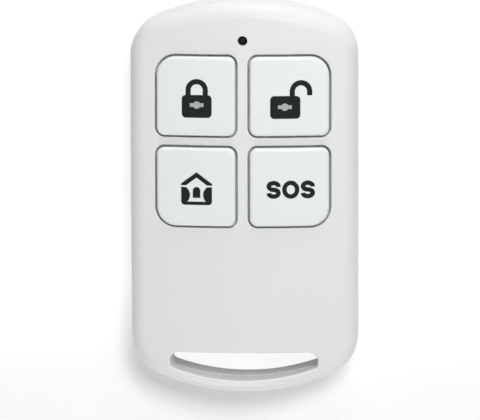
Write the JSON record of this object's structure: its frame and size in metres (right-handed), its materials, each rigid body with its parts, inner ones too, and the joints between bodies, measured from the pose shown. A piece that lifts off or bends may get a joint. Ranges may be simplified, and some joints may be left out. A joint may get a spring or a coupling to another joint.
{
  "type": "alarm key fob",
  "caption": "White radio remote control fob for an alarm, with sprung square keys for arm, disarm, home and distress, an indicator lamp and a lanyard slot.",
  "frame": {"origin": "middle of the flat back, which the fob lies on", "axes": "+Z out of the key face, +Y to the indicator lamp's end, -Y to the lanyard slot, +X to the right as the keys are read"},
  "size_m": [0.035, 0.061, 0.0125],
  "materials": {
    "shell_plastic": "fine spark-eroded texture, white",
    "key_plastic": "smooth satin, cool white",
    "legend_ink": "printed, dark grey",
    "lamp_epoxy": "dark tinted clear epoxy",
    "board_laminate": "green solder mask",
    "copper_track": "bare copper under lacquer",
    "tinned_metal": "bright tin plate",
    "spring_steel": "bright spring steel",
    "cell_steel": "nickel plated, fine turned grain",
    "black_moulding": "black moulding compound",
    "stem_moulding": "dark moulded nylon",
    "chip_ceramic": "fired ceramic",
    "screw_steel": "zinc plated steel"
  },
  "bodies": {
    "casing": {"front_shell": "shell_plastic", "rear_shell": "shell_plastic", "circuit_board": "board_laminate", "antenna_loop": "copper_track", "indicator_led": "lamp_epoxy", "led_leads": "tinned_metal", "encoder_chip": "black_moulding", "encoder_chip_leads": "tinned_metal", "resonator_can": "tinned_metal", "resonator_pins": "tinned_metal", "output_transistor": "black_moulding", "transistor_leads": "tinned_metal", "chip_resistors": "black_moulding", "chip_capacitors": "chip_ceramic", "coin_cell": "cell_steel", "positive_clip": "spring_steel", "negative_contact": "spring_steel", "case_screws": "screw_steel", "arm_switch_base": "black_moulding", "arm_switch_terminals": "tinned_metal", "arm_switch_dome": "spring_steel", "arm_switch_cover": "tinned_metal", "disarm_switch_base": "black_moulding", "disarm_switch_terminals": "tinned_metal", "disarm_switch_dome": "spring_steel", "disarm_switch_cover": "tinned_metal", "home_switch_base": "black_moulding", "home_switch_terminals": "tinned_metal", "home_switch_dome": "spring_steel", "home_switch_cover": "tinned_metal", "sos_switch_base": "black_moulding", "sos_switch_terminals": "tinned_metal", "sos_switch_dome": "spring_steel", "sos_switch_cover": "tinned_metal"},
    "arm_key_cap": {"arm_key": "key_plastic"},
    "arm_stem": {"arm_switch_stem": "stem_moulding"},
    "disarm_key_cap": {"disarm_key": "key_plastic"},
    "disarm_stem": {"disarm_switch_stem": "stem_moulding"},
    "home_key_cap": {"home_key": "key_plastic"},
    "home_stem": {"home_switch_stem": "stem_moulding"},
    "sos_key_cap": {"sos_key": "key_plastic"},
    "sos_stem": {"sos_switch_stem": "stem_moulding"}
  },
  "joints": [
    {"name": "arm_press", "type": "slide", "parent": "casing", "child": "arm_key_cap", "axis": [0, 0, -1], "range_m": [0, 0.0003], "stiffness_N_per_m": 4000},
    {"name": "arm_stem_slide", "type": "slide", "parent": "casing", "child": "arm_stem", "axis": [0, 0, -1], "range_m": [0, 0.0003], "deforming": ["arm_switch_dome"]},
    {"name": "disarm_press", "type": "slide", "parent": "casing", "child": "disarm_key_cap", "axis": [0, 0, -1], "range_m": [0, 0.0003], "stiffness_N_per_m": 4000},
    {"name": "disarm_stem_slide", "type": "slide", "parent": "casing", "child": "disarm_stem", "axis": [0, 0, -1], "range_m": [0, 0.0003], "deforming": ["disarm_switch_dome"]},
    {"name": "home_press", "type": "slide", "parent": "casing", "child": "home_key_cap", "axis": [0, 0, -1], "range_m": [0, 0.0003], "stiffness_N_per_m": 4000},
    {"name": "home_stem_slide", "type": "slide", "parent": "casing", "child": "home_stem", "axis": [0, 0, -1], "range_m": [0, 0.0003], "deforming": ["home_switch_dome"]},
    {"name": "sos_press", "type": "slide", "parent": "casing", "child": "sos_key_cap", "axis": [0, 0, -1], "range_m": [0, 0.0003], "stiffness_N_per_m": 4000},
    {"name": "sos_stem_slide", "type": "slide", "parent": "casing", "child": "sos_stem", "axis": [0, 0, -1], "range_m": [0, 0.0003], "deforming": ["sos_switch_dome"]}
  ],
  "couplings": [
    {"joint": "arm_stem_slide", "follows": "arm_press", "ratio": 1},
    {"joint": "disarm_stem_slide", "follows": "disarm_press", "ratio": 1},
    {"joint": "home_stem_slide", "follows": "home_press", "ratio": 1},
    {"joint": "sos_stem_slide", "follows": "sos_press", "ratio": 1}
  ]
}
